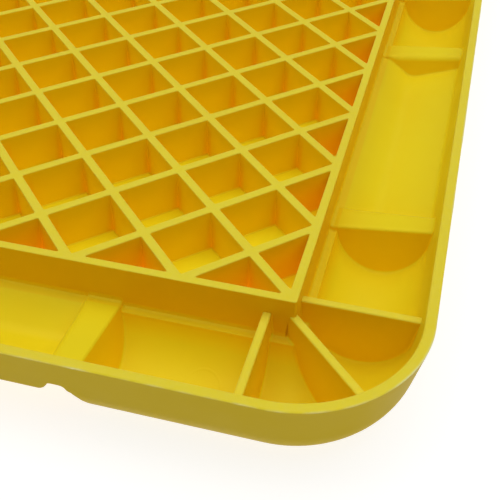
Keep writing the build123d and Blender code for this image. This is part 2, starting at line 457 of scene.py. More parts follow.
@dataclass(frozen=True)
class MouldedPlastic:
    """Satin yellow plastic, straight from the mould. Its colours are linear.

    Attributes:
        name: the material's name.
        sheen: how strong its sheen is.
        colour: the plastic's own colour.
        deeper: the same in slow clouds.
        upright_shade: painted shade, a deeper orange, on upright faces between ribs.
        cavity_shade_and_glow: painted shade deep in the corners of cells, and the colour of their painted
            glow.
        outer_shade_colour: painted shade, darker and duller, on the outer faces.
        pale: a painted highlight on rounded top edges, and the pale flash on the rim's outer edge, which is
            partly the flash's own colour and partly painted highlight.
        gloss: colour of its soft sheen.
        thin_glow_colour: colour of the painted glow on its thin floors and walls, which stands in for light
            coming through them.
        roughness: its least and greatest roughness.
        cavity_glow: strength of the painted glow where the walls meet, deep in the cells.
        thin_glow: strength of the painted glow on the thin floors and walls of the cells.
        upright: how far up a face looks where its painted shade starts, and where it is full.
        relief: depth of its unevenness.
        grain: share of the fine grain in it.
        ring_place: middle of the pin mark beside each corner, seen from above.
        ring_radius: the pin mark's radius.
        ring_width: half the width of its line.
    """

    name: str = "yellow_moulded_plastic"
    sheen: float = 0.32
    colour: Colour = (0.93, 0.765, 0.012)
    deeper: Colour = (0.92, 0.72, 0.008)
    upright_shade: Colour = (1.0, 0.655, 0.003)
    cavity_shade_and_glow: Colour = (0.97, 0.33, 0.001)
    outer_shade_colour: Colour = (0.54, 0.385, 0.011)
    pale: Colour = (0.86, 0.84, 0.40)
    gloss: Colour = (1.0, 0.86, 0.28)
    thin_glow_colour: Colour = (0.75, 1.0, 0.0)
    roughness: tuple[float, float] = (0.40, 0.54)
    cavity_glow: float = 0.32
    thin_glow: float = 0.09
    upright: tuple[float, float] = (0.62, 0.25)
    relief: float = 0.12 * MM
    grain: float = 0.12
    ring_place: tuple[float, float, float] = (0.1501, 0.2325, 0.0)
    ring_radius: float = 5.0 * MM
    ring_width: float = 0.45 * MM

    def build(self) -> bpy.types.Material:
        """Makes the material's nodes.

        Returns:
            The finished material.
        """
        material = bpy.data.materials.new(self.name)
        material.use_nodes = True
        nodes = Nodes(material.node_tree)
        place = nodes.add("TexCoord", {}, "Object")
        rough = nodes.spread(nodes.noise(place, scale=60.0, detail=6.0), 0.3, 0.7, self.roughness)
        values = {
            "Base Color": self.tint(nodes, place),
            "Roughness": rough,
            "IOR": 1.49,
            "Specular IOR Level": self.sheen,
            "Specular Tint": (*self.gloss, 1),
            "Emission Color": self.light(nodes),
            "Emission Strength": 1.0,
            "Normal": self.bump(nodes, place),
        }
        nodes.wire(material.node_tree.nodes["Principled BSDF"], values)
        return material

    def tint(self, nodes: Nodes, place: Socket) -> Socket:
        """Its colour, with random clouds, painted shade, painted highlight and pale flash.

        Args:
            nodes: the material's nodes.
            place: the place on the object.

        Returns:
            The colour.
        """
        clouds = nodes.spread(nodes.noise(place, scale=22.0, detail=4.0), 0.35, 0.65)
        # Painted shade: upright faces turn a deeper orange, except where a vertex is marked open to the rim.
        facing = nodes.add("SeparateXYZ", {"Vector": nodes.add("NewGeometry", {}, "Normal")}, "Z")
        upright = nodes.spread(facing, *self.upright)
        upright_shade_share = nodes.maths("SUBTRACT", upright, nodes.attribute("open"), clamp=True)
        # Painted highlight on top edges and pale flash on the rim's outer edge, broken into patches by
        # specks.
        specks = nodes.spread(nodes.noise(place, scale=700.0, detail=3.0), 0.10, 0.90)
        highlight_patches = nodes.maths("ADD", specks, 0.35)
        highlight_and_flash_share = nodes.maths("MULTIPLY", nodes.attribute("worn"), highlight_patches, clamp=True)
        tint = nodes.mix(clouds, self.colour, self.deeper)
        tint = nodes.mix(upright_shade_share, tint, self.upright_shade)
        # Painted shade deep in the cells, on the inner walls' outer faces and on the ledge beside them.
        tint = nodes.mix(nodes.attribute("deep"), tint, self.cavity_shade_and_glow)
        # Painted shade on the outer faces.
        tint = nodes.mix(nodes.attribute("handled"), tint, self.outer_shade_colour)
        return nodes.mix(highlight_and_flash_share, tint, self.pale)

    def light(self, nodes: Nodes) -> Socket:
        """Painted glow on its thin floors, its thin walls and deep corners, which stands in for light coming
        through the plastic.

        Args:
            nodes: the material's nodes.

        Returns:
            The painted glow's colour and strength in one.
        """
        deep = nodes.attribute("deep")
        # Painted glow: faint on the thin floors and walls, stronger and orange deep in the corners.
        thin_glow = nodes.maths("MULTIPLY", nodes.attribute("thin"), self.thin_glow)
        cavity_glow = nodes.maths("MULTIPLY", nodes.maths("MULTIPLY", deep, deep), self.cavity_glow)
        return nodes.mix(cavity_glow, nodes.mix(thin_glow, (0.0, 0.0, 0.0), self.thin_glow_colour), self.cavity_shade_and_glow)

    def bump(self, nodes: Nodes, place: Socket) -> Socket:
        """Its fine grain, its slow waves and the faint ring that an ejector pin leaves by each corner.

        Args:
            nodes: the material's nodes.
            place: the place on the object.

        Returns:
            The bumped normal.
        """
        grain = nodes.maths("MULTIPLY", nodes.noise(place, scale=2600.0, detail=2.0), self.grain)
        height = nodes.maths("ADD", grain, nodes.noise(place, scale=45.0, detail=2.0))
        folded = nodes.vector("MULTIPLY", {0: nodes.vector("ABSOLUTE", {0: place}), 1: (1, 1, 0)})
        away = nodes.vector("DISTANCE", {0: folded, 1: self.ring_place}, "Value")
        off_ring = nodes.maths("ABSOLUTE", nodes.maths("SUBTRACT", away, self.ring_radius), 0.0)
        height = nodes.maths("ADD", height, nodes.spread(off_ring, self.ring_width, 0.0))
        return nodes.add("Bump", {"Height": height, "Strength": 0.35, "Distance": self.relief}, "Normal")


# ---------------------------------------------------------------- pieces
@dataclass
class Moulding:
    """Makes pieces of the moulding and gives them their finish.

    Attributes:
        sizes: the board's sizes.
        sides: its four sides.
        plastics: the material that every piece has, and a second one with less sheen for the outer faces,
            which carry painted shade.
        crease: edges that turn by more than this stay sharp.
        top_highlight: how much painted highlight the rounded top edges carry.
    """

    sizes: BoardSizes
    sides: tuple[Side, ...]
    plastics: tuple[bpy.types.Material, bpy.types.Material]
    crease: float = radians(38.0)
    top_highlight: float = 0.10

    def corners(self) -> Iterator[tuple[str, Side, Side]]:
        """Each corner's name, the side that ends there and the side that starts there."""
        names = ("front_right", "front_left", "back_left", "back_right")
        return zip(names, (self.sides[-1], *self.sides), self.sides)

    def piece(self, node: str, points: Array, faces: list[Face], **marks: Array) -> None:
        """Makes one closed piece that stands for a CAD node.

        Args:
            node: the CAD node's name.
            points: its vertices.
            faces: its faces, as tuples of vertex numbers.
            marks: for each vertex, from 0 to 1: its painted highlight and pale flash, the outer faces'
                painted shade, how open it is to the rim, its painted shade and glow in cavities, and how
                thin it is, for the painted glow.
        """
        mesh = bpy.data.meshes.new(f"moulded_{node}")
        mesh.from_pydata(points.reshape(-1, 3).tolist(), [], faces)
        if mesh.validate():
            log.warning("%s had faces that were not valid", mesh.name)
        shape = bmesh.new()
        shape.from_mesh(mesh)
        bmesh.ops.recalc_face_normals(shape, faces=shape.faces)
        shape.to_mesh(mesh)
        shape.free()
        mesh.shade_smooth()
        mesh.set_sharp_from_angle(angle=self.crease)
        for name in ("worn", "handled", "open", "deep", "thin"):
            layer = mesh.attributes.new(name, "FLOAT", "POINT")
            if name in marks:
                layer.data.foreach_set("value", marks[name].astype(np.float32).ravel())
        for plastic in self.plastics:
            mesh.materials.append(plastic)
        # Faces wholly in the outer faces' painted shade take the second material, which has less sheen.
        if "handled" in marks:
            outer_face = marks["handled"].ravel() > 0.99
            for face in mesh.polygons:
                face.material_index = int(outer_face[list(face.vertices)].all())
        piece = bpy.data.objects.new(mesh.name, mesh)
        bpy.context.scene.collection.objects.link(piece)
        piece.modifiers.new("even_shading", "WEIGHTED_NORMAL").keep_sharp = True
        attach(piece, "root")
        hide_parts(node)
        log.info("%s: %d vertices, %d faces", piece.name, len(mesh.vertices), len(mesh.polygons))


@dataclass
class Cell:
    """One cell of the lattice: a square pocket, or the inner half of one against a wall.

    Attributes:
        cut: heading of the half that a wall takes away, or None.
        corners: its corners' headings and places, counterclockwise.
        rings: vertex numbers of the arc at each corner, by heading, at the rib tops and at the floor.
        kerb: for a corner against a wall, the vertices opposite it on the lattice's outer edge.
    """

    cut: int | None
    corners: dict[int, Array]
    rings: tuple[dict[int, list[int]], ...] = ()
    kerb: dict[int, list[int]] = field(default_factory=dict)


@dataclass
class CellDeck(Moulding):
    """The floor panel, the lattice of cells on it and the four walls round them.

    Attributes:
        rib_round: reach of the rounding of every top edge.
        foot_round: reach of the fillet at the foot of the cells' walls.
        corner_round: reach of the rounding of the cells' corners.
        corner_glow: how far from a corner its painted shade and glow reach.
        draft: how far a cell's walls lean in by its foot.
        wall_share: how far inside the node line the lattice ends and the walls start.
        wall_thin: how thin the cells' walls are for the painted glow, beside the floor panel's 1.
        cell_deep: painted shade and glow on the walls and in the corners of a whole cell.
        half_deep: the same for a half cell.
        foot_deep: how much of that painted shade the foot of a corner has, beside the corner's 1.
        deep_rise: how soon below the rib tops the full painted shade is reached.
        wall_deep: painted shade on the inner walls' outer faces.
        wall_handled: how much of the outer faces' painted shade they get.
        least_round: the least of a cell corner's rounding that is left where it leans in.
        most_reach: the most that a blunt corner's rounding may reach, in lengths of a square corner's.
        corner_steps: stretches round a corner of the board.
        steps: stretches in each rounding.
    """

    rib_round: float = 0.40 * MM
    foot_round: float = 0.45 * MM
    corner_round: float = 0.5 * MM
    corner_glow: float = 2.6 * MM
    draft: float = 0.18 * MM
    wall_share: float = 0.9 * MM
    wall_thin: float = 0.27
    cell_deep: tuple[float, float] = (0.0, 0.5)
    half_deep: tuple[float, float] = (0.45, 0.8)
    foot_deep: float = 0.4
    deep_rise: float = 1.4
    wall_deep: float = 0.20
    wall_handled: float = 0.10
    least_round: float = 1 / 3
    most_reach: float = 1.6
    corner_steps: int = 8
    steps: int = 3
    points: list[Array] = field(default_factory=list)
    deep: list[Array] = field(default_factory=list)
    faces: list[Face] = field(default_factory=list)
    cells: dict[tuple[int, int], Cell] = field(default_factory=dict)
    kerb_corners: dict[tuple[int, int], list[int]] = field(default_factory=dict)
    total: int = 0

    HEADINGS = ((1, 0), (0, 1), (-1, 0), (0, -1))

    def build(self) -> None:
        """Makes the panel, the lattice and the walls."""
        self.build_panel()
        self.build_lattice()
        for side in self.sides:
            self.build_wall(side)

    def build_panel(self) -> None:
        """Makes the flat panel, whose corners turn about the lattice's corner nodes."""
        s = self.sizes
        outline = []
        for side in self.sides:
            node = side.place(-side.half, 0.0, 0.0)
            for turn in np.linspace(pi / 2, 0.0, self.corner_steps + 1):
                outline.append(node + s.wall_out * (side.out * cos(turn) - side.along * sin(turn)))
        levels = [np.array(outline) + UP * z for z in (s.panel_top, s.panel_bottom)]
        # Painted glow on the panel's top face, standing in for light that comes through the thin floor.
        thin = np.repeat((1.0, 0.0), len(outline))
        self.piece("floor_panel", np.concatenate(levels), tube_faces(2, len(outline)), thin=thin)

    # ------------------------------------------------ lattice
    def levels(self) -> Array:
        """How far in and how high a cell's outline is, from the rib tops down to the floor.

        Returns:
            A row for each level.
        """
        top, floor = self.sizes.top, self.sizes.panel_top
        mouth = bend((-self.rib_round, top), (0, top), (0, top - self.rib_round), even(self.steps))
        foot, on_floor = (self.draft, floor + self.foot_round), (self.draft + self.foot_round, floor)
        return np.concatenate((mouth, bend(foot, (self.draft, floor), on_floor, even(self.steps))))

    def add(self, points: Array | Sequence, deep: Array | float = 0.0) -> list[int]:
        """Adds vertices to the lattice.

        Args:
            points: their places.
            deep: how much painted shade and glow they carry.

        Returns:
            Their numbers.
        """
        points = np.atleast_2d(points)
        self.points.append(points)
        self.deep.append(np.broadcast_to(deep, len(points)))
        self.total += len(points)
        return list(range(self.total - len(points), self.total))

    def arcs(self, cell: Cell, inset: float) -> list[Array]:
        """A cell's outline, moved in, as an arc of points for each corner.

        Args:
            cell: the cell.
            inset: how far in the outline is moved.

        Returns:
            Each corner's arc, with a point where the corner's painted shade and glow end on either side.
        """
        corners = np.array(list(cell.corners.values()))
        arcs = []
        for before, corner, after in zip(np.roll(corners, 1, 0), corners, np.roll(corners, -1, 0)):
            arrive, leave = towards(before, corner), towards(corner, after)
            inward = [np.array((-way[1], way[0])) for way in (arrive, leave)]
            turn = acos(float(arrive @ leave))
            moved = corner + (inward[0] + inward[1]) * inset / (1 + inward[0] @ inward[1])
            round_here = max(self.corner_round - inset, self.corner_round * self.least_round)
            reach = round_here * min(tan(turn / 2), self.most_reach)
            arc = bend(moved - arrive * reach, moved, moved + leave * reach, even(self.steps))
            ends = (arc[0] - arrive * self.corner_glow, arc[-1] + leave * self.corner_glow)
            arcs.append(np.concatenate((ends[:1], arc, ends[1:])))
        return arcs

    def make_cell(self, i: int, j: int) -> Cell:
        """Lays out one cell.

        Args:
            i: half steps across to its middle.
            j: half steps along to its middle.

        Returns:
            The cell, cut in half where its middle is on a wall.
        """
        s = self.sizes
        half_diagonal = s.node_step / 2 - s.lattice_rib / sqrt(2)
        centre = np.array((i, j)) * s.node_step / 2 - (s.half_width, s.half_length)
        outside = [i == 2 * s.cells_across, j == 2 * s.cells_along, i == 0, j == 0]
        headings = [np.array(h, float) for h in self.HEADINGS]
        if not any(outside):
            return Cell(None, {d: centre + h * half_diagonal for d, h in enumerate(headings)})
        cut = outside.index(True)
        depth = s.wall_thickness - s.wall_out
        middle = centre - headings[cut] * depth
        right, apex, left = ((cut + turn) % 4 for turn in (1, 2, 3))
        corners = {
            right: middle + headings[right] * (half_diagonal - depth),
            apex: centre + headings[apex] * half_diagonal,
            left: middle + headings[left] * (half_diagonal - depth),
        }
        return Cell(cut, corners)

    def build_cell(self, cell: Cell) -> None:
        """Makes a cell's rounded mouth, drafted walls and filleted foot."""
        top, floor = self.sizes.top, self.sizes.panel_top
        walls, corner = self.cell_deep if cell.cut is None else self.half_deep
        across = np.full(self.steps + 3, corner)
        across[[0, -1]] = walls
        rings = []
        for inset, height in self.levels():
            # Painted shade and glow grow from nothing at the rib tops, are fullest in the corners and weaker
            # at the foot.
            share = min(1.0, (top - height) / (top - floor) * self.deep_rise)
            deep = across * (share if height > floor + self.foot_round / 2 else self.foot_deep)
            arcs = self.arcs(cell, inset)
            numbers = [self.add(np.c_[arc, np.full(len(arc), height)], deep) for arc in arcs]
            rings.append(dict(zip(cell.corners, numbers)))
        cell.rings = (rings[0], rings[-1])
        loops = [sum(ring.values(), []) for ring in rings]
        for above, below in zip(loops, loops[1:]):
            self.faces += strip(above + above[:1], below + below[:1])

    def build_kerb(self, cell: Cell) -> None:
        """Puts the vertices opposite a cut cell's mouth on the lattice's outer edge."""
        s = self.sizes
        axis = cell.cut % 2
        limit = (s.half_width, s.half_length)[axis] - self.wall_share
        arcs = self.arcs(cell, -self.rib_round)
        (right, first), _, (left, last) = zip(cell.corners, arcs)
        for heading, point in ((right, first[0]), (left, last[-1])):
            point[axis] = limit if cell.cut < 2 else -limit
            cell.kerb[heading] = self.add([(*point, s.top), (*point, s.panel_top)])

    def crossing(self, i: int, j: int, level: int) -> list[int]:
        """The face round one node of the lattice.

        Args:
            i: half steps across to the node.
            j: half steps along to the node.
            level: 0 for the face at the rib tops, 1 for the one at the floor.

        Returns:
            Its vertex numbers.
        """
        near = [self.cells.get((i + di, j + dj)) for di, dj in self.HEADINGS]
        ring: list[int] = []
        for heading, cell in enumerate(near):
            if cell is None:
                continue
            facing = (heading + 2) % 4
            if near[heading - 1] is None:
                ring.append(cell.kerb[facing][level])
            ring += reversed(cell.rings[level][facing])
            if near[(heading + 1) % 4] is None:
                ring.append(cell.kerb[facing][level])
                if near[facing] is None:
                    ring.append(self.kerb_corners[i > 0, j > 0][level])
        return ring

    def ribs(self, level: int) -> Iterator[list[int]]:
        """The faces along the ribs between cells and along the walls.

        Args:
            level: 0 for the faces at the rib tops, 1 for those at the floor.

        Yields:
            Each face's vertex numbers.
        """
        for (i, j), cell in self.cells.items():
            here = cell.rings[level]
            for heading, (di, dj) in enumerate(((1, 1), (-1, 1))):
                following, opposite, beyond = ((heading + turn) % 4 for turn in (1, 2, 3))
                other = self.cells.get((i + di, j + dj))
                there = other.rings[level] if other else {}
                if {heading, following} <= here.keys() and {opposite, beyond} <= there.keys():
                    yield [here[heading][-1], there[beyond][0], there[opposite][-1], here[following][0]]
            if cell.cut is not None:
                right, left = (cell.cut + 1) % 4, (cell.cut + 3) % 4
                yield [cell.kerb[left][level], cell.kerb[right][level], here[right][0], here[left][-1]]

    def build_lattice(self) -> None:
        """Makes every cell a pocket, and joins them by the rib tops above and by their feet below."""
        s = self.sizes
        grid = [(i, j) for i in range(2 * s.cells_across + 1) for j in range(2 * s.cells_along + 1)]
        self.cells = {(i, j): self.make_cell(i, j) for i, j in grid if (i + j) % 2}
        for cell in self.cells.values():
            self.build_cell(cell)
            if cell.cut is not None:
                self.build_kerb(cell)
        edge = np.array((s.half_width, s.half_length)) - self.wall_share
        for far in ((0, 0), (0, 1), (1, 0), (1, 1)):
            place = edge * (2 * np.array(far) - 1)
            self.kerb_corners[far] = self.add([(*place, s.top), (*place, s.panel_top)])
        kerbs = [pair for cell in self.cells.values() for pair in cell.kerb.values()]
        below = dict(kerbs + list(self.kerb_corners.values()))
        tops, feet = (
            [self.crossing(i, j, level) for i, j in grid if (i + j) % 2 == 0] + list(self.ribs(level))
            for level in (0, 1)
        )
        around = [pair for face in tops for pair in zip(face, face[1:] + face[:1])]
        self.faces += [tuple(face) for face in tops] + [tuple(face[::-1]) for face in feet]
        self.faces += [(below[a], below[b], b, a) for a, b in around if a in below and b in below]
        points = np.concatenate(self.points)
        # Painted highlight on the rib tops, painted glow on the thin walls below them, painted shade and
        # glow in the cells.
        is_top = points[:, 2] > s.top - self.rib_round / 2
        worn, thin = np.where(is_top, self.top_highlight, 0.0), np.where(is_top, 0.0, self.wall_thin)
        deep = np.concatenate(self.deep)
        self.piece("cell_lattice", points, self.faces, worn=worn, thin=thin, deep=deep)

    # ------------------------------------------------ walls
    def build_wall(self, side: Side) -> None:
        """Makes one wall's outer skin, from the middle of one of its corners to the middle of the next."""
        s = self.sizes
        out, low = s.wall_out, s.top - self.rib_round
        edge = bend((out - self.rib_round, s.top), (out, s.top), (out, low), even(self.steps + 1))
        foot, crest = (-self.wall_share, s.panel_top), (-self.wall_share, s.top)
        section = np.array([foot, crest, *edge, (out, s.panel_top)])
        turns = np.linspace(0, pi / 4, self.corner_steps // 2 + 1)
        rows = [corner_row(side, -1, turn, section) for turn in turns[::-1]]
        rows += [corner_row(side, 1, turn, section) for turn in turns]
        # Painted highlight on the rounded top; painted cavity shade and the outer faces' painted shade below
        # it.
        is_top = np.tile(section[:, 1] > s.top - self.rib_round / 2, len(rows))
        deep, handled = (np.where(is_top, 0.0, mark) for mark in (self.wall_deep, self.wall_handled))
        marks = {"worn": np.where(is_top, self.top_highlight, 0.0), "deep": deep, "handled": handled}
        faces = tube_faces(len(rows), len(section))
        self.piece(f"inner_wall_{side.name}", np.concatenate(rows), faces, **marks)


def corner_row(side: Side, end: int, turn: float, section: Array) -> Array:
    """A section turned about a side's corner node; what is inside the node line is mitred instead.

    Args:
        side: the side that the corner belongs to.
        end: -1 for its first corner, 1 for its last.
        turn: how far round the corner, from the side's own direction.
        section: the section's points, out from the node line and up.

    Returns:
        The section's points on the board.
    """
    out, high = section[:, :1], section[:, 1:]
    turned = out * (side.out * cos(turn) + side.along * end * sin(turn))
    mitred = out * (side.out + side.along * end) - side.along * end * (pi / 4 - turn) * MITRE_FAN
    return side.place(end * side.half, 0.0, 0.0) + np.where(out > 0, turned, mitred) + high * UP


# ---------------------------------------------------------------- border
@dataclass(frozen=True)
class BorderSection:
    """The border's sections as rows of points, out from the node line and up, from wall to rim.

    Every zone's row has the same number of points, and most of them lie equally far out in every zone,
    so that rows of different zones can be joined point by point.

    Attributes:
        sizes: the board's sizes.
        wall_fillet: reach of the fillet at the foot of the inner walls.
        ledge_round: reach of the rounded edge of the ledge.
        rim_fillet: reach of the fillet between a saddle or a recess and the rim.
        shelf_round: reach of the rounding between a recess's ledge and its floor.
        valley_round: reach of the rounding of a recess's V floor.
        bead_fillet: reach of the fillet between the floor's underside and the bead.
        shared_end: how far inside the foot of the rim the shared points end, above and below.
        steps: stretches in each fillet.
        floor_steps: stretches across the gutter's floor, its toe apart.
    """

    sizes: BoardSizes
    wall_fillet: float = 1.5 * MM
    ledge_round: float = 0.35 * MM
    rim_fillet: float = 1.0 * MM
    shelf_round: tuple[float, float] = (1.6 * MM, 1.2 * MM)
    valley_round: float = 2.6 * MM
    bead_fillet: float = 0.5 * MM
    shared_end: tuple[float, float] = (1.1 * MM, 1.7 * MM)
    steps: int = 4
    floor_steps: int = 33

    def on_circle(self, start: float, end: float, steps: int, radius: float) -> Array:
        """Points of an arc about the gutter's axis, at angles from the outward direction."""
        angle = np.linspace(start, end, steps + 1)[1:]
        middle = (self.sizes.gutter_middle, self.sizes.gutter_axis)
        return radius * np.stack((np.cos(angle), np.sin(angle)), -1) + middle

    def bowl(self, radius: float, edge: tuple[float, float], reach: float, rim: tuple[float, float],
             inset: float, counts: tuple[int, int]) -> Array:
        """A rounded edge, then the arc of the gutter or of the bead under it.

        Args:
            radius: the arc's radius.
            edge: the sharp edge where the arc starts.
            reach: how far from the edge its rounding starts.
            rim: where the arc ends.
            inset: how far inside that the shared points end.
            counts: stretches in the rounding and in the arc's shared part.

        Returns:
            The points from the edge to the rim.
        """
        s = self.sizes
        start = pi + atan2(s.gutter_axis - edge[1], s.gutter_middle - edge[0]) + reach / radius
        last = 2 * pi + atan2(rim[1] - s.gutter_axis, rim[0] - s.gutter_middle)
        shared = 2 * pi - acos((rim[0] - inset - s.gutter_middle) / radius)
        on_arc = self.on_circle(start, start, 1, radius)[0]
        rounding = bend((edge[0] - reach, edge[1]), edge, on_arc, even(counts[0]))
        floor = self.on_circle(start, shared, counts[1], radius)
        return np.concatenate((rounding, floor, self.on_circle(shared, last, self.steps + 1, radius)))

    def wall_foot(self, height: float) -> Array:
        """Fillet from the wall's face to a floor at that height."""
        w, r = self.sizes.wall_out, self.wall_fillet
        return bend((w, height + r), (w, height), (w + r, height), eased(self.steps))

    def gutter(self) -> Array:
        """Ledge and half-round gutter."""
        s = self.sizes
        edge, rim = (s.ledge_end, s.panel_top), (s.rim_toe, s.panel_top)
        counts = (4, self.floor_steps)
        bowl = self.bowl(s.gutter_radius, edge, self.ledge_round, rim, self.shared_end[0], counts)
        return np.concatenate((self.wall_foot(s.panel_top), bowl))

    def dry(self, line: Array, corner: tuple[float, float]) -> Array:
        """A floor with a fillet at the wall and at the rim, on the gutter's shared points.

        Args:
            line: the floor's line, from wall to rim.
            corner: where the floor meets the rim.

        Returns:
            The row of points.
        """
        shared = self.gutter()[self.steps + 1 : -self.steps - 1, 0]
        floor = np.stack((shared, np.interp(shared, line[:, 0], line[:, 1])), -1)
        start = corner + towards(corner, line[-2]) * self.rim_fillet
        high = corner[1] + self.rim_fillet
        toe = bend(start, corner, (self.sizes.rim_face(high), high), eased(self.steps))
        return np.concatenate((self.wall_foot(line[0, 1]), floor, toe))

    def saddle(self) -> Array:
        """Sloping top of a saddle."""
        s = self.sizes
        corner = (s.rim_face(s.saddle_at_rim), s.saddle_at_rim)
        return self.dry(np.array(((s.wall_out, s.saddle_at_wall), corner)), corner)

    def recess(self) -> Array:
        """Ledge and V floor of a grip recess."""
        s = self.sizes
        ledge = s.top - s.recess_ledge_drop
        corner = (s.rim_toe, s.panel_top)
        valley = (s.valley_offset, s.top - s.valley_drop)
        points = ((s.wall_out, ledge), (s.ledge_end, ledge), valley, corner)
        return self.dry(rounded_line(points, (self.shelf_round[0], self.valley_round)), corner)

    def top(self, zone: Zone) -> Array:
        """The row of a zone's upper surface."""
        return {Zone.GUTTER: self.gutter, Zone.RECESS: self.recess, Zone.SADDLE: self.saddle}[zone]()

    def under(self, zone: Zone) -> Array:
        """The row of a zone's underside, with as many points as its upper surface has.

        Args:
            zone: what the stretch is.

        Returns:
            The row of points.
        """
        s = self.sizes
        radius = s.gutter_radius + s.skin
        start = s.gutter_middle - sqrt(radius**2 - (s.panel_bottom - s.gutter_axis) ** 2)
        foot, rim = (s.wall_out, s.panel_bottom), (s.bead_end, s.panel_top)
        counts = (self.steps - 1, len(self.gutter()) - 2 * (self.steps + 1))
        bowl = self.bowl(radius, (start, s.panel_bottom), self.bead_fillet, rim, self.shared_end[1], counts)
        bead = np.concatenate(((foot,), bowl))
        if zone is Zone.GUTTER:
            return bead
        if zone is Zone.SADDLE:
            slope = (s.rim_inner - s.rim_toe) / (s.top - s.panel_top)
            end = (s.rim_toe + slope * (s.ceiling(0.0) - s.panel_top)) / (1 - slope * s.saddle_slope)
            out = s.wall_out + (bead[:, 0] - s.wall_out) * (end - s.wall_out) / (s.bead_end - s.wall_out)
            return np.stack((out, s.ceiling(out)), -1)
        valley = (s.valley_offset, s.top - s.valley_drop - s.skin)
        corner = (s.bead_end, s.panel_top - s.recess_lip)
        points = (foot, (s.ledge_end, s.panel_bottom), valley, corner)
        line = rounded_line(points, (self.shelf_round[1], self.valley_round))
        out = bead[: -self.steps - 1, 0]
        lip = bend(corner + towards(corner, valley) * s.recess_lip, corner, rim, even(self.steps))
        return np.concatenate((np.stack((out, np.interp(out, line[:, 0], line[:, 1])), -1), lip))


@dataclass(frozen=True)
class EndWall:
    """A leaning wall between a low row of points and a higher one.

    Attributes:
        edge: where along the side the wall is at the saddles' mean height.
        facing: the way along the side that it looks, -1 or 1.
        lean: how far it leans back from upright.
        mean: the saddles' mean height.
        foot_round: reach of the rounding at its foot.
        top_round: reach of the rounding at its top.
        steps: stretches in each rounding.
        most: the most that a rounding may take of the wall's height.
    """

    edge: float
    facing: int
    lean: float
    mean: float
    foot_round: float
    top_round: float
    steps: int = 6
    most: float = 0.48

    def rows(
        self, low: Array, high: Array, flare: Callable[[Array], Array] | None = None
    ) -> tuple[Array, Array]:
        """Rows of points from the low row up the wall to the high one.

        Args:
            low: the row at the wall's foot, out and up.
            high: the row at its top.
            flare: how far a point at (out, up) is moved the way the wall faces, for the wall's own corners.

        Returns:
            Where each point is along the side, and the points themselves, out and up.
        """
        rise = np.maximum(high[:, 1] - low[:, 1], 1e-9)
        foot, top = (tan(self.lean) * (self.mean - row[:, 1]) for row in (low, high))
        slant = np.hypot(rise, foot - top)
        up = np.stack((top - foot, rise), -1) / slant[:, None]
        back = np.array((1.0, 0.0))
        limit = self.most * slant
        foot_reach, top_reach = (np.minimum(r, limit)[:, None] for r in (self.foot_round, self.top_round))
        toe, crest = (np.stack(pair, -1) for pair in ((foot, low[:, 1]), (top, high[:, 1])))
        at_foot = bend(toe + back * foot_reach, toe, toe + up * foot_reach, eased(self.steps))
        at_top = bend(crest - up * top_reach, crest, crest - back * top_reach, eased(self.steps))
        along, z = np.moveaxis(np.concatenate((at_foot, at_top)), -1, 0)
        out = low[:, 0] + (high[:, 0] - low[:, 0]) * (z - low[:, 1]) / rise
        section = np.stack((out, z), -1)
        if flare is not None:
            along = along + flare(section)
        return self.edge + self.facing * along, section


